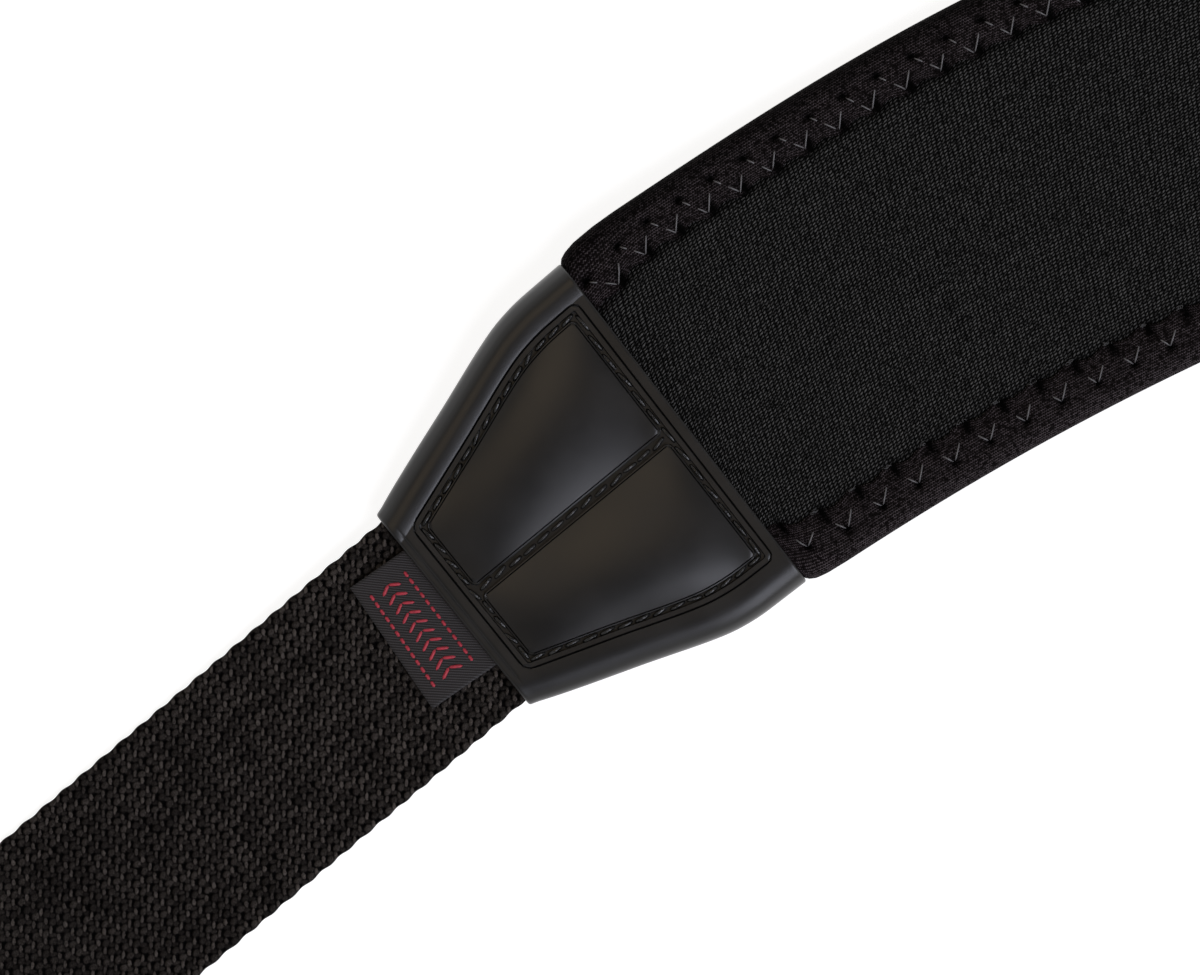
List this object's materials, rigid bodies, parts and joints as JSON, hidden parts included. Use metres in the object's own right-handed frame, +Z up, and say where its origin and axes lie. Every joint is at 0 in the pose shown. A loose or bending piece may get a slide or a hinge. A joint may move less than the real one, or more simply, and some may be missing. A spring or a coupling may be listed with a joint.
{
  "type": "camera neck strap",
  "caption": "Curved foam camera neck strap with bound edges, a moulded, stitched cap at each end, and webbing from each cap to a plain rectangular ring.",
  "frame": {"origin": "centre of the strap's outline on the surface that it lies on", "axes": "+X from the labelled end to the other end, +Y towards the pad's convex edge, +Z up out of the face"},
  "size_m": [0.91, 0.2499, 0.01],
  "materials": {
    "neoprene": "matt black knitted jersey over foam",
    "binding": "matt black stretch tricot tape",
    "cap_rubber": "satin black moulded rubber",
    "webbing": "heavy black woven polypropylene",
    "label": "black satin weave with a red woven motif",
    "ring_plastic": "fine-grained black moulded plastic"
  },
  "bodies": {
    "root": {"pad": "neoprene", "binding_outer": "binding", "binding_inner": "binding", "cap_left": "cap_rubber", "cap_right": "cap_rubber", "webbing_left": "webbing", "webbing_right": "webbing", "label": "label", "end_ring_left": "ring_plastic", "end_ring_right": "ring_plastic"}
  },
  "joints": []
}
